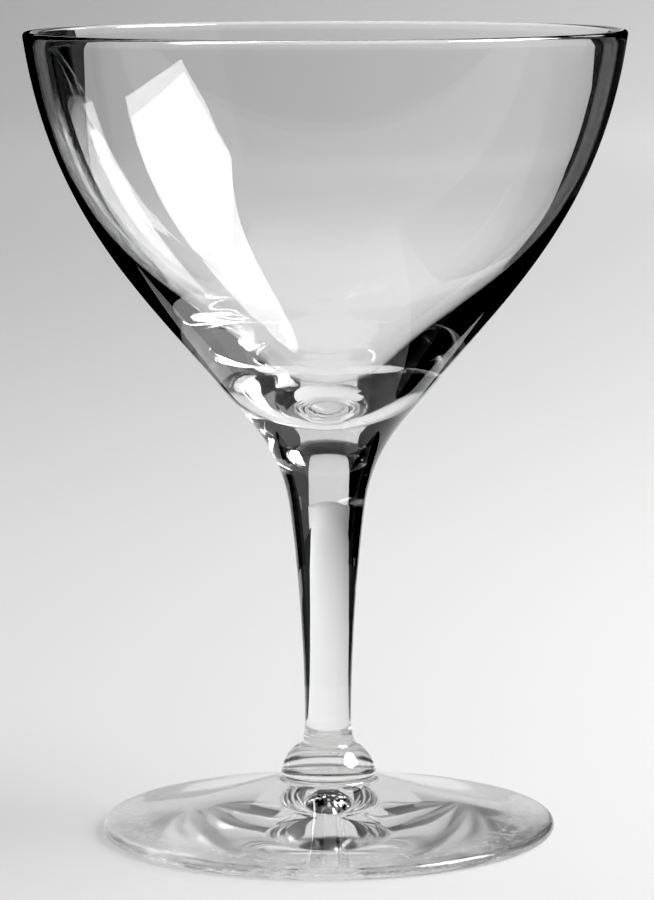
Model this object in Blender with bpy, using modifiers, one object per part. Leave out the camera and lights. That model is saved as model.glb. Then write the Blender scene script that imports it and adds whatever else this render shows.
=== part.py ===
"""Sherbet glass in clear crystal: a blown bowl, a drawn stem, a button knop and a domed foot.

Lengths are in metres and angles in degrees. The glass stands on the XY plane with its axis on +Z,
and the origin is the middle of the ring that it stands on. Each piece is a profile of (radius,
height) points, turned about the axis, with heights measured from the bottom of the piece.

A lean is a wall's angle from the vertical. A slope is a surface's angle from the horizontal. A reach
is how far a curve holds the direction of that end.
"""

import math

import bpy
from mathutils import Vector

COLLECTION_NAME = "sherbet_glass"

# Bowl
BOWL_HEIGHT = 0.07065
RIM_DIAMETER = 0.08972
RIM_WALL = 0.0012
RIM_LEAN = 8.1
RIM_REACH = 0.0259

# Flare that gathers the bowl into the stem
FLARE_DIAMETER = 0.0325
FLARE_HEIGHT = 0.0178
FLARE_LEAN = 40.0
FLARE_WALL_REACH = 0.0185
FLARE_NECK_REACH = 0.0062
NECK_LEAN = 9.6
NECK_REACH = 0.0093

# Well inside the bowl, where the even wall swells into the solid base
BASE_THICKNESS = 0.01435
BASE_WALL = 0.0037
WALL_SPAN = 0.9
WALL_SWELL = 4
WELL_WALL_REACH = 0.008
WELL_BOTTOM_REACH = 0.004

# Stem
STEM_LENGTH = 0.0359
STEM_TOP_DIAMETER = 0.0115
STEM_TOP_LEAN = 7.4
STEM_TOP_REACH = 0.0067
STEM_WAIST_DIAMETER = 0.00703
STEM_WAIST_HEIGHT = 0.0024
STEM_WAIST_REACH = 0.0143
STEM_BASE_DIAMETER = 0.0078
STEM_BASE_LEAN = 18.0
STEM_BASE_REACH = 0.0008

# Knop
KNOP_HEIGHT = 0.0056
KNOP_DIAMETER = 0.0145
KNOP_WIDEST_HEIGHT = 0.00035
KNOP_BASE_DIAMETER = 0.0149
KNOP_BASE_LEAN = 35.0
KNOP_SKIRT_REACH = 0.00015
KNOP_NECK_LENGTH = 0.00085
KNOP_NECK_FLARE = 0.0007
KNOP_NECK_REACH = 0.0004
KNOP_SHOULDER_SLOPE = 25.0
KNOP_SHOULDER_REACH = 0.001
KNOP_SIDE_REACH = 0.0022

# Foot
FOOT_HEIGHT = 0.00795
FOOT_DIAMETER = 0.0686
FOOT_EDGE_THICKNESS = 0.0019
FOOT_EDGE_SLOPE = 6.0
FOOT_EDGE_REACH = 0.0114
FOOT_DOME_SLOPE = 15.0
FOOT_DOME_REACH = 0.0046
FOOT_FLARE_WIDTH = 0.0011
FOOT_FLARE_DROP = 0.0004
FOOT_FLARE_SLOPE = 40.0
FOOT_FLARE_REACH = 0.0003
FOOT_RING_WIDTH = 0.00235

# Hollow under the foot
HOLLOW_DEPTH = 0.0037
HOLLOW_SLOPE = 2.0
HOLLOW_RING_REACH = 0.018
HOLLOW_TOP_REACH = 0.006

# Clearance between two fused faces
JOINT_GAP = 0.0003

# Fineness of the turned surfaces
TURN_STEPS = 64
LIP_STEPS = 6
WALL_STEPS = 12
WELL_STEPS = 8
FLARE_STEPS = 8
TAPER_STEPS = 10
BLEND_STEPS = 4
KNOP_STEPS = 10
DOME_STEPS = 8
EDGE_STEPS = 7
HOLLOW_STEPS = 9
MERGE_DISTANCE = 0.000001

# Clear crystal
GLASS_COLOUR = (0.94, 0.95, 0.95, 1.0)
GLASS_ROUGHNESS = 0.02
GLASS_INDEX = 1.52

DOWN = Vector((0.0, -1.0))
INWARD = Vector((-1.0, 0.0))


def downward(lean):
    """Return the direction that runs down and in along a wall that widens upwards by its lean."""
    angle = math.radians(lean)
    return Vector((-math.sin(angle), -math.cos(angle)))


def outward(slope):
    """Return the direction that runs out and down along a surface of this slope."""
    angle = math.radians(slope)
    return Vector((math.cos(angle), -math.sin(angle)))


def swept(start, start_direction, start_reach, end, end_direction, end_reach):
    """Return the four control points of a cubic curve that leaves and arrives in set directions."""
    return (start, start + start_direction * start_reach, end - end_direction * end_reach, end)


def point_on(curve, share):
    """Return the point at a share of a cubic curve's length parameter."""
    rest = 1.0 - share
    weights = (rest**3, 3 * rest**2 * share, 3 * rest * share**2, share**3)
    return sum((control * weight for control, weight in zip(curve, weights)), Vector((0.0, 0.0)))


def direction_on(curve, share):
    """Return the unit direction of a cubic curve at a share of its length parameter."""
    rest = 1.0 - share
    weights = (rest**2, 2 * rest * share, share**2)
    steps = [after - before for before, after in zip(curve, curve[1:])]
    return sum((step * weight for step, weight in zip(steps, weights)), Vector((0.0, 0.0))).normalized()


def along(curve, count):
    """Return points along a cubic curve, both ends included."""
    return [point_on(curve, index / count) for index in range(count + 1)]


def arc(centre, radius, start_angle, end_angle, count):
    """Return points along a circular arc, both ends included."""
    points = []
    for index in range(count + 1):
        angle = math.radians(start_angle + (end_angle - start_angle) * index / count)
        points.append(centre + Vector((math.cos(angle), math.sin(angle))) * radius)
    return points


def chained(*stretches):
    """Join stretches of a profile into one list, with each shared end kept once."""
    points = []
    for stretch in stretches:
        for point in stretch:
            if not points or (point - points[-1]).length > MERGE_DISTANCE:
                points.append(point)
    return points


def bowl_profile():
    """Return the bowl from its inside bottom, over the lip and down its outer side to the joint."""
    lip_radius = RIM_WALL / 2
    lip_centre = Vector((RIM_DIAMETER / 2 - lip_radius, BOWL_HEIGHT - lip_radius))
    lip = arc(lip_centre, lip_radius, 180.0 - RIM_LEAN, -RIM_LEAN, LIP_STEPS)
    flare_top = Vector((FLARE_DIAMETER / 2, FLARE_HEIGHT))
    neck = Vector((STEM_TOP_DIAMETER / 2, 0.0))
    flare_direction = downward(FLARE_LEAN)
    outer_wall = swept(lip[-1], downward(RIM_LEAN), RIM_REACH, flare_top, flare_direction, FLARE_WALL_REACH)
    flare = swept(flare_top, flare_direction, FLARE_NECK_REACH, neck, downward(NECK_LEAN), NECK_REACH)

    def inside(share):
        """Return the inner wall's point across from a share of its span down the outer wall."""
        place = share * WALL_SPAN
        direction = direction_on(outer_wall, place)
        wall = RIM_WALL + (BASE_WALL - RIM_WALL) * share**WALL_SWELL
        return point_on(outer_wall, place) + Vector((direction.y, -direction.x)) * wall

    inner_wall = [inside(index / WALL_STEPS) for index in range(WALL_STEPS + 1)]
    well_top = inner_wall[-1]
    well_direction = (well_top - inner_wall[-2]).normalized()
    well_bottom = Vector((0.0, BASE_THICKNESS))
    well = swept(well_top, well_direction, WELL_WALL_REACH, well_bottom, INWARD, WELL_BOTTOM_REACH)
    hollow = chained(inner_wall, along(well, WELL_STEPS))
    outer = chained(along(outer_wall, WALL_STEPS), along(flare, FLARE_STEPS))
    return chained(reversed(hollow), lip, outer, [Vector((0.0, 0.0))])


def stem_profile():
    """Return the stem from its top face down its tapering side to its slightly spread base."""
    top = Vector((STEM_TOP_DIAMETER / 2, STEM_LENGTH))
    waist = Vector((STEM_WAIST_DIAMETER / 2, STEM_WAIST_HEIGHT))
    base = Vector((STEM_BASE_DIAMETER / 2, 0.0))
    taper = swept(top, downward(STEM_TOP_LEAN), STEM_TOP_REACH, waist, DOWN, STEM_WAIST_REACH)
    spread = swept(waist, DOWN, STEM_BASE_REACH, base, downward(-STEM_BASE_LEAN), STEM_BASE_REACH)
    top_face = [Vector((0.0, STEM_LENGTH)), top]
    return chained(top_face, along(taper, TAPER_STEPS), along(spread, BLEND_STEPS), [Vector((0.0, 0.0))])


def knop_profile():
    """Return the knop from its short neck over its round shoulder to its spread base."""
    neck = Vector((STEM_BASE_DIAMETER / 2, KNOP_HEIGHT))
    shoulder = Vector((neck.x + KNOP_NECK_FLARE, KNOP_HEIGHT - KNOP_NECK_LENGTH))
    widest = Vector((KNOP_DIAMETER / 2, KNOP_WIDEST_HEIGHT))
    base = Vector((KNOP_BASE_DIAMETER / 2, 0.0))
    shoulder_direction = outward(KNOP_SHOULDER_SLOPE)
    base_direction = downward(-KNOP_BASE_LEAN)
    collar = swept(neck, DOWN, KNOP_NECK_REACH, shoulder, shoulder_direction, KNOP_NECK_REACH)
    dome = swept(shoulder, shoulder_direction, KNOP_SHOULDER_REACH, widest, DOWN, KNOP_SIDE_REACH)
    skirt = swept(widest, DOWN, KNOP_SKIRT_REACH, base, base_direction, KNOP_SKIRT_REACH)
    top_face = [Vector((0.0, KNOP_HEIGHT)), neck]
    side = chained(along(collar, BLEND_STEPS), along(dome, KNOP_STEPS), along(skirt, BLEND_STEPS))
    return chained(top_face, side, [Vector((0.0, 0.0))])


def foot_profile():
    """Return the foot from the knop's seat over its dome and edge to its ring and hollow underside."""
    seat = Vector((KNOP_BASE_DIAMETER / 2, FOOT_HEIGHT))
    dome_top = seat + Vector((FOOT_FLARE_WIDTH, -FOOT_FLARE_DROP))
    edge_radius = FOOT_EDGE_THICKNESS / 2
    edge_centre = Vector((FOOT_DIAMETER / 2 - edge_radius, edge_radius))
    edge = arc(edge_centre, edge_radius, 90.0 - FOOT_EDGE_SLOPE, -90.0, EDGE_STEPS)
    ring = Vector((edge_centre.x - FOOT_RING_WIDTH, 0.0))
    hollow_top = Vector((0.0, HOLLOW_DEPTH))
    flare_direction = outward(FOOT_FLARE_SLOPE)
    dome_direction = outward(FOOT_DOME_SLOPE)
    edge_direction = outward(FOOT_EDGE_SLOPE)
    hollow_direction = -outward(HOLLOW_SLOPE)
    flare = swept(seat, flare_direction, FOOT_FLARE_REACH, dome_top, dome_direction, FOOT_FLARE_REACH)
    dome = swept(dome_top, dome_direction, FOOT_DOME_REACH, edge[0], edge_direction, FOOT_EDGE_REACH)
    hollow = swept(ring, hollow_direction, HOLLOW_RING_REACH, hollow_top, INWARD, HOLLOW_TOP_REACH)
    seat_face = [Vector((0.0, FOOT_HEIGHT)), seat]
    top = chained(along(flare, BLEND_STEPS), along(dome, DOME_STEPS))
    return chained(seat_face, top, edge, along(hollow, HOLLOW_STEPS))


def glass_material(name):
    """Return a clear, colourless, fire-polished glass."""
    material = bpy.data.materials.new(name)
    material.use_nodes = True
    shader = material.node_tree.nodes["Principled BSDF"]
    shader.inputs["Base Color"].default_value = GLASS_COLOUR
    shader.inputs["Roughness"].default_value = GLASS_ROUGHNESS
    shader.inputs["Metallic"].default_value = 0.0
    shader.inputs["IOR"].default_value = GLASS_INDEX
    shader.inputs["Transmission Weight"].default_value = 1.0
    material.diffuse_color = GLASS_COLOUR
    return material


def turned(name, profile, base_height, collection, parent):
    """Turn a profile about the glass's axis into one closed piece that stands at its base height."""
    mesh = bpy.data.meshes.new(name)
    points = [(point.x, 0.0, point.y) for point in profile]
    edges = [(index, index + 1) for index in range(len(points) - 1)]
    mesh.from_pydata(points, edges, [])
    mesh.materials.append(glass_material(f"{name}_glass"))
    piece = bpy.data.objects.new(name, mesh)
    collection.objects.link(piece)
    piece.parent = parent
    piece.location.z = base_height
    screw = piece.modifiers.new("turn", "SCREW")
    screw.axis = "Z"
    screw.angle = math.tau
    screw.steps = TURN_STEPS
    screw.render_steps = TURN_STEPS
    screw.use_merge_vertices = True
    screw.merge_threshold = MERGE_DISTANCE
    screw.use_smooth_shade = True
    return piece


def main():
    """Build the glass from the table up, each piece a joint's gap above the one below."""
    for old in list(bpy.data.objects):
        bpy.data.objects.remove(old, do_unlink=True)
    collection = bpy.data.collections.new(COLLECTION_NAME)
    bpy.context.scene.collection.children.link(collection)
    axis = bpy.data.objects.new("axis", None)
    collection.objects.link(axis)

    stack = (
        ("foot", foot_profile(), FOOT_HEIGHT),
        ("knop", knop_profile(), KNOP_HEIGHT),
        ("stem", stem_profile(), STEM_LENGTH),
        ("bowl", bowl_profile(), BOWL_HEIGHT),
    )
    base_height = 0.0
    for name, profile, height in stack:
        turned(name, profile, base_height, collection, axis)
        base_height += height + JOINT_GAP


main()
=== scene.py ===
"""Sherbet glass in clear crystal on a pale sweep of paper, lit by one tall window.

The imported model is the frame. Its bowl, stem, knop and foot are turned again here with the lip, well,
seams and soft curves that the glass shows, each in the place of its node, and fused where they meet.
Lengths are in metres and angles in degrees. A profile is a list of (radius, height) points. A lean is
a wall's angle from the vertical, and a slope is a surface's angle from the horizontal.
"""

import logging
import math
from dataclasses import dataclass
from enum import Enum

import bpy
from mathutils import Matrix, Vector


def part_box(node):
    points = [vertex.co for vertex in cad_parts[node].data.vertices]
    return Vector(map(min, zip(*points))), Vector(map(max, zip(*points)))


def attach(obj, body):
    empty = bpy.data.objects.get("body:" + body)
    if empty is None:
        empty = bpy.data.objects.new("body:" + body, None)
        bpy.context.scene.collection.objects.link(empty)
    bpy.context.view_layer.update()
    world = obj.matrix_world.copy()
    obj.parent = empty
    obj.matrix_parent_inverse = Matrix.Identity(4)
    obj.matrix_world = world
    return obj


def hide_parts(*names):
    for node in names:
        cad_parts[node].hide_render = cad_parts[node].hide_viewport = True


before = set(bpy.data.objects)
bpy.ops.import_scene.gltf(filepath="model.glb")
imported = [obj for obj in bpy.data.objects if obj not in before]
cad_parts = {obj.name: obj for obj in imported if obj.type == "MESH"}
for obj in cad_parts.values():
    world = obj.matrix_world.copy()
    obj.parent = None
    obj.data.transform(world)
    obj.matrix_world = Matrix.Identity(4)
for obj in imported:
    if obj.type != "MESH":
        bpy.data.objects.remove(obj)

LOG = logging.getLogger("sherbet_glass")
BODY = "root"
WHITE = (1.0, 1.0, 1.0, 1.0)

Profile = list[Vector]
Point = tuple[float, float, float]
Flat = tuple[float, float]
Outline = tuple[Flat, ...]


class Side(Enum):
    """A side of the glass in the photo, by the sign of its places across."""

    LEFT = -1.0
    RIGHT = 1.0


class Value:
    """A shader socket that takes part in expressions, each of which adds its Math node."""

    def __init__(self, sheet: "ShaderSheet", socket: bpy.types.NodeSocket) -> None:
        """Wrap an output socket of the sheet's tree."""
        self.sheet = sheet
        self.socket = socket

    def _math(self, operation: str, first: "Value | float", second: "Value | float") -> "Value":
        """Add a Math node.

        Args:
            operation: The node's operation.
            first: The first operand.
            second: The second operand.

        Returns:
            The node's result.
        """
        settings = {"operation": operation}
        return self.sheet.node("ShaderNodeMath", settings, {0: first, 1: second})

    def __add__(self, other: "Value | float") -> "Value":
        """Return self + other."""
        return self._math("ADD", self, other)

    def __radd__(self, other: float) -> "Value":
        """Return other + self."""
        return self._math("ADD", other, self)

    def __sub__(self, other: "Value | float") -> "Value":
        """Return self - other."""
        return self._math("SUBTRACT", self, other)

    def __rsub__(self, other: float) -> "Value":
        """Return other - self."""
        return self._math("SUBTRACT", other, self)

    def __mul__(self, other: "Value | float") -> "Value":
        """Return self * other."""
        return self._math("MULTIPLY", self, other)

    def __rmul__(self, other: float) -> "Value":
        """Return other * self."""
        return self._math("MULTIPLY", other, self)

    def rises(self, low: float, high: float) -> "Value":
        """Turn the value into a soft mask.

        Args:
            low: The value where the mask is 0.
            high: The value where the mask is 1.

        Returns:
            The mask, which goes smoothly from 0 to 1.
        """
        settings = {"interpolation_type": "SMOOTHSTEP"}
        inputs = {"Value": self, "From Min": low, "From Max": high}
        return self.sheet.node("ShaderNodeMapRange", settings, inputs)


class ShaderSheet:
    """A node tree under construction."""

    def __init__(self, tree: bpy.types.NodeTree) -> None:
        """Start from an emptied tree."""
        self.tree = tree
        self.tree.nodes.clear()

    def node(
        self,
        kind: str,
        settings: dict | None = None,
        inputs: dict | None = None,
        output: str | int = 0,
    ) -> Value:
        """Add any node.

        Args:
            kind: The node's type name.
            settings: Properties of the node, set first.
            inputs: Values or links of its input sockets, by name or number.
            output: The output socket to return, by name or number.

        Returns:
            The chosen output, ready for expressions.
        """
        made = self.tree.nodes.new(kind)
        for name, setting in (settings or {}).items():
            setattr(made, name, setting)
        for key, given in (inputs or {}).items():
            if isinstance(given, Value):
                self.tree.links.new(given.socket, made.inputs[key])
            else:
                made.inputs[key].default_value = given
        return Value(self, made.outputs[output] if made.outputs else None)

    def place(self) -> Value:
        """Return the point on the piece, in metres."""
        return self.node("ShaderNodeTexCoord", output="Object")

    def noise(self, place: Value, scale: float, detail: float, distortion: float = 0.0) -> Value:
        """Return soft noise from 0 to 1.

        Args:
            place: The point that the noise is read at.
            scale: Ripples to the metre.
            detail: How many finer octaves are added.
            distortion: How far the pattern is swirled.

        Returns:
            The noise value.
        """
        inputs = {"Vector": place, "Scale": scale, "Detail": detail, "Distortion": distortion}
        return self.node("ShaderNodeTexNoise", {"noise_dimensions": "3D"}, inputs)

    def height(self, place: Value) -> Value:
        """Return how high the point is."""
        return self.node("ShaderNodeSeparateXYZ", inputs={"Vector": place}, output="Z")

    def radius(self, place: Value) -> Value:
        """Measure how far a point is from the axis of the glass.

        Args:
            place: The point on the piece.

        Returns:
            The distance in metres.
        """
        level = {0: place, 1: (1.0, 1.0, 0.0)}
        flat = self.node("ShaderNodeVectorMath", {"operation": "MULTIPLY"}, level)
        return self.node("ShaderNodeVectorMath", {"operation": "LENGTH"}, {0: flat}, output="Value")


def new_material(name: str) -> tuple[bpy.types.Material, ShaderSheet]:
    """Start a material on an empty node tree.

    Args:
        name: The material's name.

    Returns:
        The material and its shader sheet.
    """
    material = bpy.data.materials.new(name)
    material.use_nodes = True
    return material, ShaderSheet(material.node_tree)


@dataclass(frozen=True)
class CrystalFinish:
    """Clear fire-polished glass with the slow ripple of hand work and a trace of handling."""

    name: str
    ripple_width: float
    ripple_height: float
    index: float = 1.52
    shade: float = 0.82
    smear: float = 0.004
    smear_width: float = 0.03
    smear_detail: float = 3.0
    smear_swirl: float = 0.6
    smear_range: Flat = (0.45, 0.8)
    wear_height: float = 0.0
    wear_roughness: float = 0.22
    scratch_width: float = 0.0012
    scratch_detail: float = 4.0
    scratch_swirl: float = 1.0
    scratch_range: Flat = (0.35, 0.65)
    haze: float = 0.0
    haze_height: float = 0.0014
    haze_radius: float = 0.0315
    haze_fade: float = 0.0015

    def worn(self, sheet: ShaderSheet, place: Value) -> Value:
        """Return the roughness of the scuffed resting ring and the hazy underside.

        Args:
            sheet: The material's shader sheet.
            place: The point on the piece.

        Returns:
            The roughness that use has added.
        """
        height = sheet.height(place)
        noise = sheet.noise(place, 1.0 / self.scratch_width, self.scratch_detail, self.scratch_swirl)
        touching = 1.0 - height.rises(self.wear_height / 2, self.wear_height)
        under = 1.0 - height.rises(self.haze_height / 2, self.haze_height)
        inside = 1.0 - sheet.radius(place).rises(self.haze_radius - self.haze_fade, self.haze_radius)
        return touching * noise.rises(*self.scratch_range) * self.wear_roughness + under * inside * self.haze

    def material(self) -> bpy.types.Material:
        """Make the glass as a material.

        Returns:
            The material, with its ripple, smears and wear.
        """
        material, sheet = new_material(self.name)
        place = sheet.place()
        ripple = sheet.noise(place, 1.0 / self.ripple_width, 1.0)
        bump = sheet.node(
            "ShaderNodeBump",
            inputs={"Height": ripple, "Distance": self.ripple_height, "Strength": 1.0},
        )
        smear = sheet.noise(place, 1.0 / self.smear_width, self.smear_detail, self.smear_swirl)
        roughness = smear.rises(*self.smear_range) * self.smear
        if self.wear_height > 0.0:
            roughness = roughness + self.worn(sheet, place)
        inputs = {
            "Base Color": WHITE,
            "Roughness": roughness,
            "Normal": bump,
            "IOR": self.index,
            "Transmission Weight": 1.0,
        }
        glass = sheet.node("ShaderNodeBsdfPrincipled", inputs=inputs)
        shade = (self.shade, self.shade, self.shade, 1.0)
        passed = sheet.node("ShaderNodeBsdfTransparent", inputs={"Color": shade})
        towards_lamp = sheet.node("ShaderNodeLightPath", output="Is Shadow Ray")
        surface = sheet.node("ShaderNodeMixShader", inputs={0: towards_lamp, 1: glass, 2: passed})
        sheet.node("ShaderNodeOutputMaterial", inputs={"Surface": surface})
        return material


@dataclass(frozen=True)
class FusedFinish:
    """The face where two hot pieces were fused, which no longer shows."""

    name: str = "fused_joint"

    def material(self) -> bpy.types.Material:
        """Make a face that lets light through unbent.

        Returns:
            The material.
        """
        material, sheet = new_material(self.name)
        clear = sheet.node("ShaderNodeBsdfTransparent", inputs={"Color": WHITE})
        sheet.node("ShaderNodeOutputMaterial", inputs={"Surface": clear})
        return material


@dataclass(frozen=True)
class TableFinish:
    """Plain matt white paper."""

    name: str = "pale_table"
    brightness: float = 0.8
    roughness: float = 0.9

    def material(self) -> bpy.types.Material:
        """Make the paper's surface.

        Returns:
            The material.
        """
        material, sheet = new_material(self.name)
        colour = (self.brightness, self.brightness, self.brightness, 1.0)
        inputs = {"Base Color": colour, "Roughness": self.roughness, "Specular IOR Level": 0.0}
        matt = sheet.node("ShaderNodeBsdfPrincipled", inputs=inputs)
        sheet.node("ShaderNodeOutputMaterial", inputs={"Surface": matt})
        return material


@dataclass(frozen=True)
class CardFinish:
    """A studio card that shines evenly, bright or nearly black."""

    name: str
    brightness: float

    def material(self) -> bpy.types.Material:
        """Make the card's surface.

        Returns:
            The material.
        """
        material, sheet = new_material(self.name)
        shine = sheet.node("ShaderNodeEmission", inputs={"Color": WHITE, "Strength": self.brightness})
        sheet.node("ShaderNodeOutputMaterial", inputs={"Surface": shine})
        return material


def along_lean(lean: float) -> Vector:
    """Return the direction down and in along a wall that widens upwards by its lean."""
    angle = math.radians(lean)
    return Vector((-math.sin(angle), -math.cos(angle)))


def along_slope(slope: float) -> Vector:
    """Return the direction out and down along a surface of this slope."""
    angle = math.radians(slope)
    return Vector((math.cos(angle), -math.sin(angle)))


DOWN = Vector((0.0, -1.0))
INWARD = Vector((-1.0, 0.0))


@dataclass(frozen=True)
class Sweep:
    """A cubic curve that leaves and arrives in set directions, each held for its reach."""

    start: Vector
    start_heading: Vector
    start_reach: float
    end: Vector
    end_heading: Vector
    end_reach: float

    def points(self, count: int) -> Profile:
        """Return points along the curve, both ends included.

        Args:
            count: The number of steps.

        Returns:
            One more point than steps.
        """
        pull = self.start + self.start_heading * self.start_reach
        push = self.end - self.end_heading * self.end_reach
        points = []
        for index in range(count + 1):
            share = index / count
            rest = 1.0 - share
            point = self.start * rest**3 + pull * (3 * rest**2 * share)
            point += push * (3 * rest * share**2) + self.end * share**3
            points.append(point)
        return points


def arc(centre: Vector, radius: float, first: float, last: float, count: int) -> Profile:
    """Return points along a circular arc, both ends included.

    Args:
        centre: The arc's centre.
        radius: The arc's radius.
        first: The angle of its first point.
        last: The angle of its last point.
        count: The number of steps.

    Returns:
        One more point than steps.
    """
    points = []
    for index in range(count + 1):
        angle = math.radians(first + (last - first) * index / count)
        points.append(centre + Vector((math.cos(angle), math.sin(angle))) * radius)
    return points


@dataclass(frozen=True)
class Lathe:
    """Turns a profile: one point is extruded along the profile, and the line is spun round the axis."""

    steps: int = 160
    merge_distance: float = 1e-7
    crease: float = 32.0
    seed_size: float = 0.0001

    def turn(self, name: str, profile: Profile) -> bpy.types.Object:
        """Turn a profile into one closed piece.

        Args:
            name: The piece's name.
            profile: Its points, from one end on the axis to the other.

        Returns:
            The piece, smooth but for its creases.
        """
        points = [profile[0]]
        for point in profile[1:]:
            if (point - points[-1]).length > self.merge_distance:
                points.append(point)
        bpy.ops.object.select_all(action="DESELECT")
        bpy.ops.mesh.primitive_plane_add(size=self.seed_size, location=(points[0].x, 0.0, points[0].y))
        piece = bpy.context.object
        piece.name = name
        piece.data.name = name
        bpy.ops.object.transform_apply(location=True, rotation=True, scale=True)
        bpy.ops.object.mode_set(mode="EDIT")
        bpy.ops.mesh.select_all(action="SELECT")
        bpy.ops.mesh.merge(type="CENTER")
        for before, after in zip(points, points[1:]):
            step = (after.x - before.x, 0.0, after.y - before.y)
            bpy.ops.mesh.extrude_region_move(TRANSFORM_OT_translate={"value": step})
        bpy.ops.mesh.select_all(action="SELECT")
        bpy.ops.mesh.spin(steps=self.steps, angle=math.tau, center=(0, 0, 0), axis=(0, 0, 1))
        bpy.ops.mesh.select_all(action="SELECT")
        bpy.ops.mesh.remove_doubles(threshold=self.merge_distance)
        bpy.ops.mesh.normals_make_consistent(inside=False)
        bpy.ops.object.mode_set(mode="OBJECT")
        bpy.ops.object.shade_smooth_by_angle(angle=math.radians(self.crease))
        return piece


@dataclass
class TurnedPiece:
    """A piece of the glass, turned about its axis, in the place of a node."""

    base: float
    top: float
    lathe: Lathe
    node: str = ""
    joint_tolerance: float = 1e-6

    def profile(self) -> Profile:
        """Return the piece's outline, from one end on the axis to the other."""
        raise NotImplementedError

    def joints(self) -> tuple[float, ...]:
        """Return the heights of the faces that are fused to a neighbour."""
        raise NotImplementedError

    def finish(self) -> CrystalFinish:
        """Return the piece's own glass."""
        raise NotImplementedError

    def build(self) -> bpy.types.Object:
        """Return the turned piece, in its place."""
        return self.lathe.turn(f"{self.node}_crystal", self.profile())

    def dress(self, piece: bpy.types.Object) -> None:
        """Give the piece its glass, and its fused faces theirs.

        Args:
            piece: The turned piece.
        """
        piece.data.materials.append(self.finish().material())
        fused = FusedFinish(f"{self.node}_fused_joint")
        piece.data.materials.append(fused.material())
        for face in piece.data.polygons:
            heights = [piece.data.vertices[index].co.z for index in face.vertices]
            for joint in self.joints():
                if all(abs(height - joint) < self.joint_tolerance for height in heights):
                    face.material_index = 1

    def install(self) -> bpy.types.Object:
        """Build and dress the piece, and put it in the place of its node.

        Returns:
            The finished piece.
        """
        piece = self.build()
        self.dress(piece)
        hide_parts(self.node)
        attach(piece, BODY)
        piece.visible_diffuse = False
        return piece


@dataclass
class Bowl(TurnedPiece):
    """The blown bowl, from its well over the lip and down its outer side to the stem."""

    node: str = "bowl"
    rim_radius: float = 0.04485
    rim_wall: float = 0.0012
    rim_lean: float = 8.1
    rim_reach: float = 0.0259
    inner_rim_reach: float = 0.026
    flare_radius: float = 0.01626
    flare_height: float = 0.01797
    flare_lean: float = 40.0
    flare_wall_reach: float = 0.0185
    flare_neck_reach: float = 0.0062
    neck_radius: float = 0.00575
    neck_lean: float = 9.6
    neck_reach: float = 0.0093
    well_height: float = 0.0145
    well_reach: float = 0.004
    wall_foot_radius: float = 0.016
    wall_foot_height: float = 0.0237
    wall_foot_lean: float = 50.0
    wall_foot_reach: float = 0.008
    wall_reach: float = 0.018
    ripple_width: float = 0.03
    ripple_height: float = 0.00001
    lip_steps: int = 14
    wall_steps: int = 70
    flare_steps: int = 34
    well_steps: int = 28

    def profile(self) -> Profile:
        """Draw the bowl's outline.

        Returns:
            Its points, from the middle of its well to the middle of its joint.
        """
        lip_radius = self.rim_wall / 2
        lip_centre = Vector((self.rim_radius - lip_radius, self.top - lip_radius))
        lip = arc(lip_centre, lip_radius, 180.0 - self.rim_lean, -self.rim_lean, self.lip_steps)
        rim_heading = along_lean(self.rim_lean)
        flare_heading = along_lean(self.flare_lean)
        wall_heading = along_lean(self.wall_foot_lean)
        neck_heading = along_lean(self.neck_lean)
        flare_top = Vector((self.flare_radius, self.base + self.flare_height))
        neck = Vector((self.neck_radius, self.base))
        well_bottom = Vector((0.0, self.base + self.well_height))
        wall_foot = Vector((self.wall_foot_radius, self.base + self.wall_foot_height))
        inner = Sweep(lip[0], rim_heading, self.inner_rim_reach, wall_foot, wall_heading, self.wall_reach)
        well = Sweep(wall_foot, wall_heading, self.wall_foot_reach, well_bottom, INWARD, self.well_reach)
        outer = Sweep(lip[-1], rim_heading, self.rim_reach, flare_top, flare_heading, self.flare_wall_reach)
        flare = Sweep(flare_top, flare_heading, self.flare_neck_reach, neck, neck_heading, self.neck_reach)
        inside = inner.points(self.wall_steps) + well.points(self.well_steps)
        outside = outer.points(self.wall_steps) + flare.points(self.flare_steps)
        return inside[::-1] + lip + outside + [Vector((0.0, self.base))]

    def joints(self) -> tuple[float, ...]:
        """Return the height of the face fused to the stem."""
        return (self.base,)

    def finish(self) -> CrystalFinish:
        """Return the bowl's thin, even glass."""
        return CrystalFinish("bowl_crystal", self.ripple_width, self.ripple_height)


@dataclass
class Stem(TurnedPiece):
    """The solid drawn stem, which tapers down to a waist and spreads a little at its base."""

    node: str = "stem"
    top_radius: float = 0.00575
    top_lean: float = 7.4
    top_reach: float = 0.0067
    waist_radius: float = 0.003515
    waist_height: float = 0.0025
    waist_reach: float = 0.0143
    base_radius: float = 0.0039
    base_lean: float = 14.0
    base_reach: float = 0.0007
    ripple_width: float = 0.012
    ripple_height: float = 0.000004
    taper_steps: int = 60
    spread_steps: int = 14

    def profile(self) -> Profile:
        """Draw the stem's outline.

        Returns:
            Its points, from the middle of its top to the middle of its base.
        """
        top = Vector((self.top_radius, self.top))
        waist = Vector((self.waist_radius, self.base + self.waist_height))
        foot = Vector((self.base_radius, self.base))
        taper = Sweep(top, along_lean(self.top_lean), self.top_reach, waist, DOWN, self.waist_reach)
        spread = Sweep(waist, DOWN, self.base_reach, foot, along_lean(-self.base_lean), self.base_reach)
        side = taper.points(self.taper_steps) + spread.points(self.spread_steps)
        return [Vector((0.0, self.top))] + side + [Vector((0.0, self.base))]

    def joints(self) -> tuple[float, ...]:
        """Return the heights of the faces fused to the bowl and the knop."""
        return (self.base, self.top)

    def finish(self) -> CrystalFinish:
        """Return the stem's drawn glass."""
        return CrystalFinish("stem_crystal", self.ripple_width, self.ripple_height)


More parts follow.
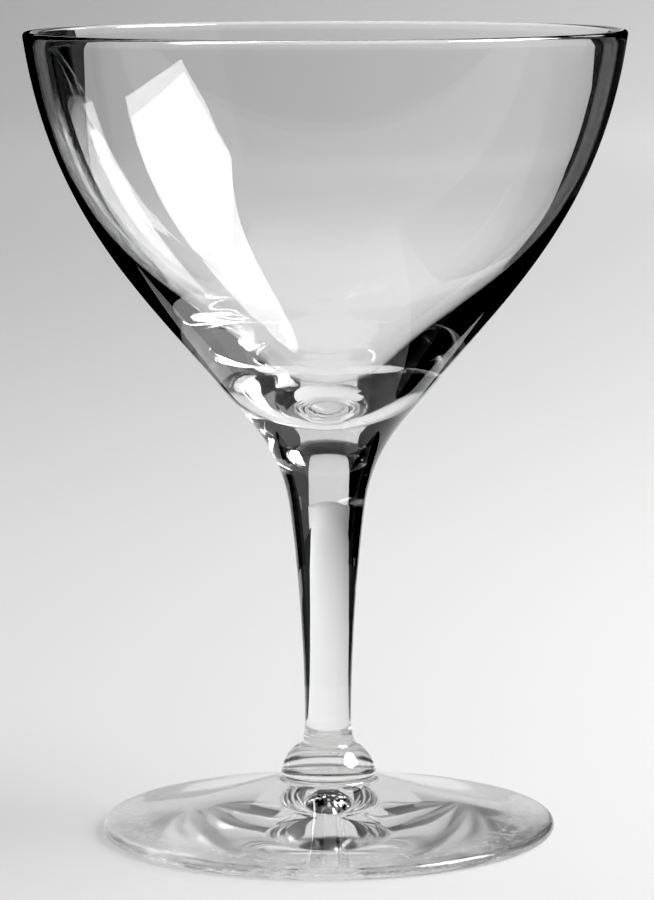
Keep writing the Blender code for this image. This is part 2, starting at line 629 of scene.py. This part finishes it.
@dataclass
class Knop(TurnedPiece):
    """The button knop: a short collar, a round shoulder and a full side that turns out at its base."""

    node: str = "knop"
    neck_radius: float = 0.0039
    neck_length: float = 0.001
    shoulder_radius: float = 0.0046
    shoulder_slope: float = 25.0
    shoulder_reach: float = 0.001
    neck_reach: float = 0.0004
    widest_radius: float = 0.00725
    widest_height: float = 0.0004
    side_reach: float = 0.0022
    base_radius: float = 0.00744
    base_lean: float = 40.0
    base_reach: float = 0.00015
    ripple_width: float = 0.01
    ripple_height: float = 0.000004
    collar_steps: int = 14
    dome_steps: int = 34
    skirt_steps: int = 8

    def profile(self) -> Profile:
        """Draw the knop's outline.

        Returns:
            Its points, from the middle of its top to the middle of its base.
        """
        neck = Vector((self.neck_radius, self.top))
        shoulder = Vector((self.shoulder_radius, self.top - self.neck_length))
        widest = Vector((self.widest_radius, self.base + self.widest_height))
        foot = Vector((self.base_radius, self.base))
        shoulder_heading = along_slope(self.shoulder_slope)
        base_heading = along_lean(-self.base_lean)
        collar = Sweep(neck, DOWN, self.neck_reach, shoulder, shoulder_heading, self.neck_reach)
        dome = Sweep(shoulder, shoulder_heading, self.shoulder_reach, widest, DOWN, self.side_reach)
        skirt = Sweep(widest, DOWN, self.base_reach, foot, base_heading, self.base_reach)
        upper = collar.points(self.collar_steps) + dome.points(self.dome_steps)
        side = upper + skirt.points(self.skirt_steps)
        return [Vector((0.0, self.top))] + side + [Vector((0.0, self.base))]

    def joints(self) -> tuple[float, ...]:
        """Return the heights of the faces fused to the stem and the foot."""
        return (self.base, self.top)

    def finish(self) -> CrystalFinish:
        """Return the knop's solid glass."""
        return CrystalFinish("knop_crystal", self.ripple_width, self.ripple_height)


@dataclass
class Foot(TurnedPiece):
    """The domed foot, with a thin round edge, a narrow resting ring and a hollow under the knop."""

    node: str = "foot"
    seat_radius: float = 0.00744
    flare_slope: float = 48.0
    flare_width: float = 0.0011
    flare_drop: float = 0.0004
    flare_reach: float = 0.0003
    dome_slope: float = 15.0
    dome_reach: float = 0.0046
    radius: float = 0.03428
    edge_thickness: float = 0.0019
    edge_slope: float = 6.0
    edge_reach: float = 0.0114
    ring_width: float = 0.00235
    hollow_depth: float = 0.0037
    hollow_slope: float = 2.0
    hollow_reach: float = 0.018
    hollow_top_reach: float = 0.006
    ripple_width: float = 0.014
    ripple_height: float = 0.00016
    wear_height: float = 0.0003
    haze: float = 0.07
    flare_steps: int = 14
    dome_steps: int = 44
    edge_steps: int = 16
    hollow_steps: int = 44

    def profile(self) -> Profile:
        """Draw the foot's outline.

        Returns:
            Its points, from the middle of its seat to the middle of its hollow.
        """
        seat = Vector((self.seat_radius, self.top))
        dome_top = seat + Vector((self.flare_width, -self.flare_drop))
        edge_radius = self.edge_thickness / 2
        edge_centre = Vector((self.radius - edge_radius, self.base + edge_radius))
        edge = arc(edge_centre, edge_radius, 90.0 - self.edge_slope, -90.0, self.edge_steps)
        ring = Vector((edge_centre.x - self.ring_width, self.base))
        hollow_top = Vector((0.0, self.base + self.hollow_depth))
        seat_heading = along_slope(self.flare_slope)
        dome_heading = along_slope(self.dome_slope)
        edge_heading = along_slope(self.edge_slope)
        rise_heading = -along_slope(self.hollow_slope)
        flare = Sweep(seat, seat_heading, self.flare_reach, dome_top, dome_heading, self.flare_reach)
        dome = Sweep(dome_top, dome_heading, self.dome_reach, edge[0], edge_heading, self.edge_reach)
        hollow = Sweep(ring, rise_heading, self.hollow_reach, hollow_top, INWARD, self.hollow_top_reach)
        upper = flare.points(self.flare_steps) + dome.points(self.dome_steps)
        return [Vector((0.0, self.top))] + upper + edge + hollow.points(self.hollow_steps)

    def joints(self) -> tuple[float, ...]:
        """Return the height of the seat that is fused to the knop."""
        return (self.top,)

    def finish(self) -> CrystalFinish:
        """Choose the foot's rippled glass.

        Returns:
            The finish, scuffed where the foot rests and a little hazy beneath.
        """
        return CrystalFinish(
            "foot_crystal",
            self.ripple_width,
            self.ripple_height,
            wear_height=self.wear_height,
            haze=self.haze,
        )


@dataclass
class SherbetGlass:
    """The whole glass, its pieces meeting in the middle of the gaps between the nodes."""

    lathe: Lathe

    def build(self) -> list[bpy.types.Object]:
        """Build the four pieces, each between its two joints.

        Returns:
            The pieces, from the table up.
        """
        foot_low, foot_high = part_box("foot")
        knop_low, knop_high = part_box("knop")
        stem_low, stem_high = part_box("stem")
        bowl_low, bowl_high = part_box("bowl")
        seat = (foot_high.z + knop_low.z) / 2
        collar = (knop_high.z + stem_low.z) / 2
        seam = (stem_high.z + bowl_low.z) / 2
        pieces = (
            Foot(foot_low.z, seat, self.lathe),
            Knop(seat, collar, self.lathe),
            Stem(collar, seam, self.lathe),
            Bowl(seam, bowl_high.z, self.lathe),
        )
        return [piece.install() for piece in pieces]


@dataclass(frozen=True)
class Card:
    """A flat card of the studio, seen only in the glass."""

    name: str
    outline: tuple[Point, ...]
    finish: CardFinish

    def build(self, rig: bpy.types.Object) -> bpy.types.Object:
        """Put the card on the rig.

        Args:
            rig: What carries the studio's cards.

        Returns:
            The card.
        """
        mesh = bpy.data.meshes.new(self.name)
        mesh.from_pydata(self.outline, [], [range(len(self.outline))])
        mesh.materials.append(self.finish.material())
        card = bpy.data.objects.new(self.name, mesh)
        bpy.context.scene.collection.objects.link(card)
        card.visible_camera = False
        card.visible_diffuse = False
        card.visible_shadow = False
        card.parent = rig
        return card


@dataclass(frozen=True)
class Lamp:
    """A soft rectangular light on the table, which the glass itself doesn't mirror."""

    name: str
    place: Point
    aim: Point
    width: float
    height: float
    power: float

    def build(self, rig: bpy.types.Object) -> bpy.types.Object:
        """Put the lamp on the rig.

        Args:
            rig: What carries the studio's lamps.

        Returns:
            The lamp.
        """
        bpy.ops.object.select_all(action="DESELECT")
        bpy.ops.object.light_add(type="AREA", location=self.place)
        lamp = bpy.context.object
        lamp.name = self.name
        lamp.data.shape = "RECTANGLE"
        lamp.data.size = self.width
        lamp.data.size_y = self.height
        lamp.data.energy = self.power
        towards = Vector(self.aim) - Vector(self.place)
        lamp.rotation_euler = towards.to_track_quat("-Z", "Y").to_euler()
        lamp.visible_glossy = False
        lamp.visible_transmission = False
        lamp.parent = rig
        return lamp


@dataclass(frozen=True)
class PaperSweep:
    """The pale floor, a sheet of paper that curves up behind the glass."""

    width: float = 16.0
    front: float = -8.0
    turn: float = 2.0
    turn_radius: float = 1.5
    height: float = 4.0
    drop: float = 0.00002
    turn_steps: int = 24

    def build(self, rig: bpy.types.Object) -> bpy.types.Object:
        """Lay the paper on the rig.

        Args:
            rig: What carries the studio.

        Returns:
            The paper.
        """
        bpy.ops.object.select_all(action="DESELECT")
        bpy.ops.mesh.primitive_plane_add(size=1.0, location=(0.0, (self.front + self.turn) / 2, -self.drop))
        paper = bpy.context.object
        paper.name = "paper_sweep"
        paper.scale = (self.width, self.turn - self.front, 1.0)
        bpy.ops.object.transform_apply(location=True, rotation=True, scale=True)
        for part in (*paper.data.polygons, *paper.data.edges, *paper.data.vertices):
            part.select = False
        for vertex in paper.data.vertices:
            vertex.select = vertex.co.y > self.turn - self.turn_radius
        bpy.ops.object.mode_set(mode="EDIT")
        bpy.ops.mesh.select_mode(type="VERT")
        centre = Vector((self.turn, self.turn_radius))
        bend = arc(centre, self.turn_radius, -90.0, 0.0, self.turn_steps)
        bend.append(bend[-1] + Vector((0.0, self.height)))
        for before, after in zip(bend, bend[1:]):
            step = (0.0, after.x - before.x, after.y - before.y)
            bpy.ops.mesh.extrude_region_move(TRANSFORM_OT_translate={"value": step})
        bpy.ops.object.mode_set(mode="OBJECT")
        bpy.ops.object.shade_smooth()
        paper.data.materials.append(TableFinish().material())
        paper.parent = rig
        return paper


@dataclass
class Studio:
    """The paper and its lamps, and the room of cards that the glass alone sees.

    The glass sees white paper on a dark table, dark cards behind it and a tall window on the right. Each
    shine is how brightly a card glows. Outlines are (across, back) on the table, (across, up) on a card
    that stands behind the glass, and (back, up) on the window.
    """

    room_light: float = 0.17
    black_level: float = 0.024
    bounces: int = 24
    mirror_bounces: int = 12
    clear_bounces: int = 32
    reach: float = 6.0
    card_lift: float = 0.0001
    side_edge: float = 0.03
    front_edge: float = -0.07
    front_end: float = -0.2
    near_paper: float = 0.054
    left_paper: Outline = ((-0.21, 0.22), (-0.46, 0.7), (-0.89, 1.64), (-1.09, 2.2))
    right_paper: Outline = ((0.15, 0.24), (0.31, 0.65), (0.61, 1.69), (0.73, 2.2))
    left_table_shine: float = 0.03
    right_table_shine: float = 0.04
    left_front_shine: float = 0.2
    right_front_shine: float = 0.28
    front_shine: float = 0.6
    far_front_shine: float = 0.1
    backdrop_place: float = 1.0
    left_backdrop: Outline = ((-0.51, 0.02), (-0.46, 0.12), (-0.4, 0.28), (-0.36, 0.6), (-0.36, 1.5))
    right_backdrop: Outline = ((0.4, 0.02), (0.36, 0.12), (0.32, 0.28), (0.28, 0.6), (0.28, 1.5))
    left_backdrop_shine: float = 0.0
    right_backdrop_shine: float = 0.08
    flag_place: float = 0.06
    flag_end: float = 0.2
    left_flag: Outline = (
        (-0.0325, 0.038),
        (-0.0325, 0.058),
        (-0.0338, 0.065),
        (-0.0385, 0.081),
        (-0.042, 0.095),
        (-0.042, 0.14),
    )
    right_flag: Outline = (
        (0.0345, 0.038),
        (0.0363, 0.058),
        (0.0412, 0.08),
        (0.0437, 0.095),
        (0.049, 0.11),
        (0.049, 0.14),
    )
    left_flag_shine: float = 0.012
    right_flag_shine: float = 0.028
    screen_place: float = 0.2
    screen_edge: float = 0.12
    screen_end: float = 0.5
    screen_heights: Flat = (0.052, 0.085)
    screen_shine: float = 0.22
    back_card_place: float = 1.2
    back_card_edge: float = 0.5
    back_card_heights: Flat = (0.127, 1.5)
    back_card_shine: float = 0.66
    wall_place: float = 0.56
    wall_front: float = -0.56
    wall_back: float = 0.47
    wall_heights: Flat = (0.0, 0.8)
    wall_shine: float = 0.28
    window_place: float = 0.5
    window: Outline = (
        (-0.23, 0.31),
        (0.09, 0.31),
        (0.16, 0.49),
        (0.33, 0.68),
        (0.2, 0.95),
        (-0.1, 0.89),
        (-0.29, 0.75),
        (-0.38, 0.65),
        (-0.31, 0.43),
    )
    window_shine: float = 20.0
    side_pane: Outline = ((0.31, 0.29), (0.46, 0.29), (0.52, 0.45), (0.44, 0.58), (0.34, 0.53))
    side_pane_shine: float = 6.0
    lamps: tuple[Lamp, ...] = (
        Lamp("window_light", place=(0.5, -0.05, 0.6), aim=(0.0, 0.0, 0.0), width=0.4, height=0.4, power=5.9),
        Lamp("side_light", place=(0.9, 0.7, 0.4), aim=(0.0, 0.7, 0.0), width=0.8, height=0.48, power=8.8),
        Lamp("far_light", place=(0.8, 1.8, 0.9), aim=(0.0, 2.1, 0.0), width=0.6, height=0.6, power=9.7),
    )

    def rig(self, camera: bpy.types.Object) -> bpy.types.Object:
        """Return the turntable that carries the cards and lamps, square to the camera.

        Args:
            camera: The camera that the rig faces.

        Returns:
            The rig.
        """
        bpy.ops.object.empty_add(location=(0.0, 0.0, 0.0))
        rig = bpy.context.object
        rig.name = "studio_rig"
        facing = rig.constraints.new("LOCKED_TRACK")
        facing.target = camera
        facing.track_axis = "TRACK_NEGATIVE_Y"
        facing.lock_axis = "LOCK_Z"
        return rig

    def lying(self, name: str, outline: Outline, shine: float) -> Card:
        """Return a card that lies on the table.

        Args:
            name: The card's name.
            outline: Its corners on the table.
            shine: How brightly it glows.

        Returns:
            The card.
        """
        outline_up = tuple((x, y, self.card_lift) for x, y in outline)
        return Card(name, outline_up, CardFinish(name, shine))

    def upright(self, name: str, start: Flat, end: Flat, heights: Flat, shine: float) -> Card:
        """Return a card that hangs or stands upright.

        Args:
            name: The card's name.
            start: Where its bottom edge starts.
            end: Where its bottom edge ends.
            heights: The heights of its bottom and top edges.
            shine: How brightly it glows.

        Returns:
            The card.
        """
        bottom, top = heights
        outline = ((*start, bottom), (*end, bottom), (*end, top), (*start, top))
        return Card(name, outline, CardFinish(name, shine))

    def shaped(self, name: str, place: float, edge: Outline, end: float, shine: float) -> Card:
        """Return an upright card behind the glass whose inner edge has a shape of its own.

        Args:
            name: The card's name.
            place: How far behind the glass it stands.
            edge: Its inner edge, from the bottom up.
            end: Where its outer edge stands.
            shine: How brightly it glows.

        Returns:
            The card.
        """
        bottom = (end, edge[0][1])
        top = (end, edge[-1][1])
        outline = tuple((x, place, z) for x, z in (bottom, *edge, top))
        return Card(name, outline, CardFinish(name, shine))

    def pane(self, name: str, outline: Outline, shine: float) -> Card:
        """Return a bright part of the window.

        Args:
            name: The card's name.
            outline: Its corners.
            shine: How brightly it glows.

        Returns:
            The card.
        """
        corners_up = tuple((self.window_place, y, z) for y, z in outline)
        return Card(name, corners_up, CardFinish(name, shine))

    def table_side(self, side: Side, paper: Outline, shine: float) -> Card:
        """Return the dark table beside the paper.

        Args:
            side: The side of the glass.
            paper: The paper's edge there, from front to back.
            shine: How brightly the table glows.

        Returns:
            The card.
        """
        start = (side.value * self.near_paper, self.side_edge)
        far_back = (side.value * self.reach, paper[-1][1])
        far_front = (side.value * self.reach, self.side_edge)
        return self.lying(f"{side.name.lower()}_table", (start, *paper, far_back, far_front), shine)

    def table_front(self, side: Side, shine: float) -> Card:
        """Return the greyer table on one side of the foot.

        Args:
            side: The side of the glass.
            shine: How brightly the table glows.

        Returns:
            The card.
        """
        near = side.value * self.near_paper
        far = side.value * self.reach
        back, front = self.side_edge, self.front_edge
        outline = ((near, back), (far, back), (far, front), (near, front))
        return self.lying(f"{side.name.lower()}_front", outline, shine)

    def table_strip(self, name: str, back: float, front: float, shine: float) -> Card:
        """Return a strip of table right across the front.

        Args:
            name: The card's name.
            back: Its back edge.
            front: Its front edge.
            shine: How brightly it glows.

        Returns:
            The card.
        """
        far = self.reach
        return self.lying(name, ((-far, back), (far, back), (far, front), (-far, front)), shine)

    def table_cards(self) -> list[Card]:
        """Lay out the dark table on both sides of the paper, and the greyer part in front.

        Returns:
            The cards that lie on the table.
        """
        return [
            self.table_side(Side.LEFT, self.left_paper, self.left_table_shine),
            self.table_side(Side.RIGHT, self.right_paper, self.right_table_shine),
            self.table_front(Side.LEFT, self.left_front_shine),
            self.table_front(Side.RIGHT, self.right_front_shine),
            self.table_strip("front_table", self.front_edge, self.front_end, self.front_shine),
            self.table_strip("far_front", self.front_end, -self.reach, self.far_front_shine),
        ]

    def screen(self, side: Side) -> Card:
        """Return a low grey card, which keeps the foot from showing the dark cards behind it.

        Args:
            side: The side of the glass.

        Returns:
            The card.
        """
        start = (side.value * self.screen_edge, self.screen_place)
        end = (side.value * self.screen_end, self.screen_place)
        return self.upright(f"{side.name.lower()}_screen", start, end, self.screen_heights, self.screen_shine)

    def dark_cards(self) -> list[Card]:
        """Set out what draws the dark edges of the bowl and the stem.

        Returns:
            The cards close behind the glass and far behind it.
        """
        far, near = self.backdrop_place, self.flag_place
        wide, narrow = self.reach, self.flag_end
        return [
            self.shaped("left_backdrop", far, self.left_backdrop, -wide, self.left_backdrop_shine),
            self.shaped("right_backdrop", far, self.right_backdrop, wide, self.right_backdrop_shine),
            self.screen(Side.LEFT),
            self.screen(Side.RIGHT),
            self.shaped("left_flag", near, self.left_flag, -narrow, self.left_flag_shine),
            self.shaped("right_flag", near, self.right_flag, narrow, self.right_flag_shine),
        ]

    def room_cards(self) -> list[Card]:
        """Set out the white card behind, the grey wall on the right and its window.

        Returns:
            The cards of the room.
        """
        card_left = (-self.back_card_edge, self.back_card_place)
        card_right = (self.back_card_edge, self.back_card_place)
        wall_front = (self.wall_place, self.wall_front)
        wall_back = (self.wall_place, self.wall_back)
        return [
            self.upright("back_card", card_left, card_right, self.back_card_heights, self.back_card_shine),
            self.upright("right_wall", wall_front, wall_back, self.wall_heights, self.wall_shine),
            self.pane("window", self.window, self.window_shine),
            self.pane("side_pane", self.side_pane, self.side_pane_shine),
        ]

    def room(self) -> None:
        """Fill the room with even light for the paper, which the glass itself doesn't show."""
        world = bpy.data.worlds.new("room")
        bpy.context.scene.world = world
        world.use_nodes = True
        sheet = ShaderSheet(world.node_tree)
        glow = sheet.node("ShaderNodeBackground", inputs={"Color": WHITE, "Strength": self.room_light})
        sheet.node("ShaderNodeOutputWorld", inputs={"Surface": glow})
        world.cycles_visibility.glossy = False
        world.cycles_visibility.transmission = False

    def picture(self) -> None:
        """Set the picture's tones, and how often light may bounce in the glass."""
        scene = bpy.context.scene
        scene.view_settings.view_transform = "Standard"
        scene.view_settings.use_curve_mapping = True
        tones = scene.view_settings.curve_mapping
        tones.black_level = (self.black_level, self.black_level, self.black_level)
        tones.update()
        scene.cycles.max_bounces = self.bounces
        scene.cycles.transmission_bounces = self.bounces
        scene.cycles.glossy_bounces = self.mirror_bounces
        scene.cycles.transparent_max_bounces = self.clear_bounces

    def build(self, camera: bpy.types.Object) -> None:
        """Set up the paper, the cards and the light.

        Args:
            camera: The camera that the rig faces.
        """
        self.room()
        rig = self.rig(camera)
        PaperSweep().build(rig)
        for card in self.table_cards() + self.dark_cards() + self.room_cards():
            card.build(rig)
        for lamp in self.lamps:
            lamp.build(rig)
        self.picture()


@dataclass(frozen=True)
class PhotoCamera:
    """The camera at the photograph's place: a little above the rim, looking slightly down."""

    distance: float = 0.6107
    height: float = 0.14065
    pitch: float = 7.698
    roll: float = -0.25
    lens: float = 163.9
    sensor: float = 36.0

    def build(self) -> bpy.types.Object:
        """Set up the camera and make it the scene's own.

        Returns:
            The camera.
        """
        bpy.ops.object.camera_add(location=(0.0, -self.distance, self.height))
        camera = bpy.context.object
        camera.name = "photo_camera"
        camera.rotation_euler = (math.radians(90.0 - self.pitch), 0.0, 0.0)
        camera.rotation_euler.rotate_axis("Z", math.radians(self.roll))
        camera.data.lens = self.lens
        camera.data.sensor_width = self.sensor
        camera.data.dof.use_dof = False
        bpy.context.scene.camera = camera
        return camera


def main() -> None:
    """Build the glass and its studio."""
    logging.basicConfig(level=logging.INFO, format="%(name)s: %(message)s")
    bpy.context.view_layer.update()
    camera = PhotoCamera().build()
    Studio().build(camera)
    for piece in SherbetGlass(Lathe()).build():
        LOG.info("%s: %d faces", piece.name, len(piece.data.polygons))


if __name__ == "__main__":
    main()
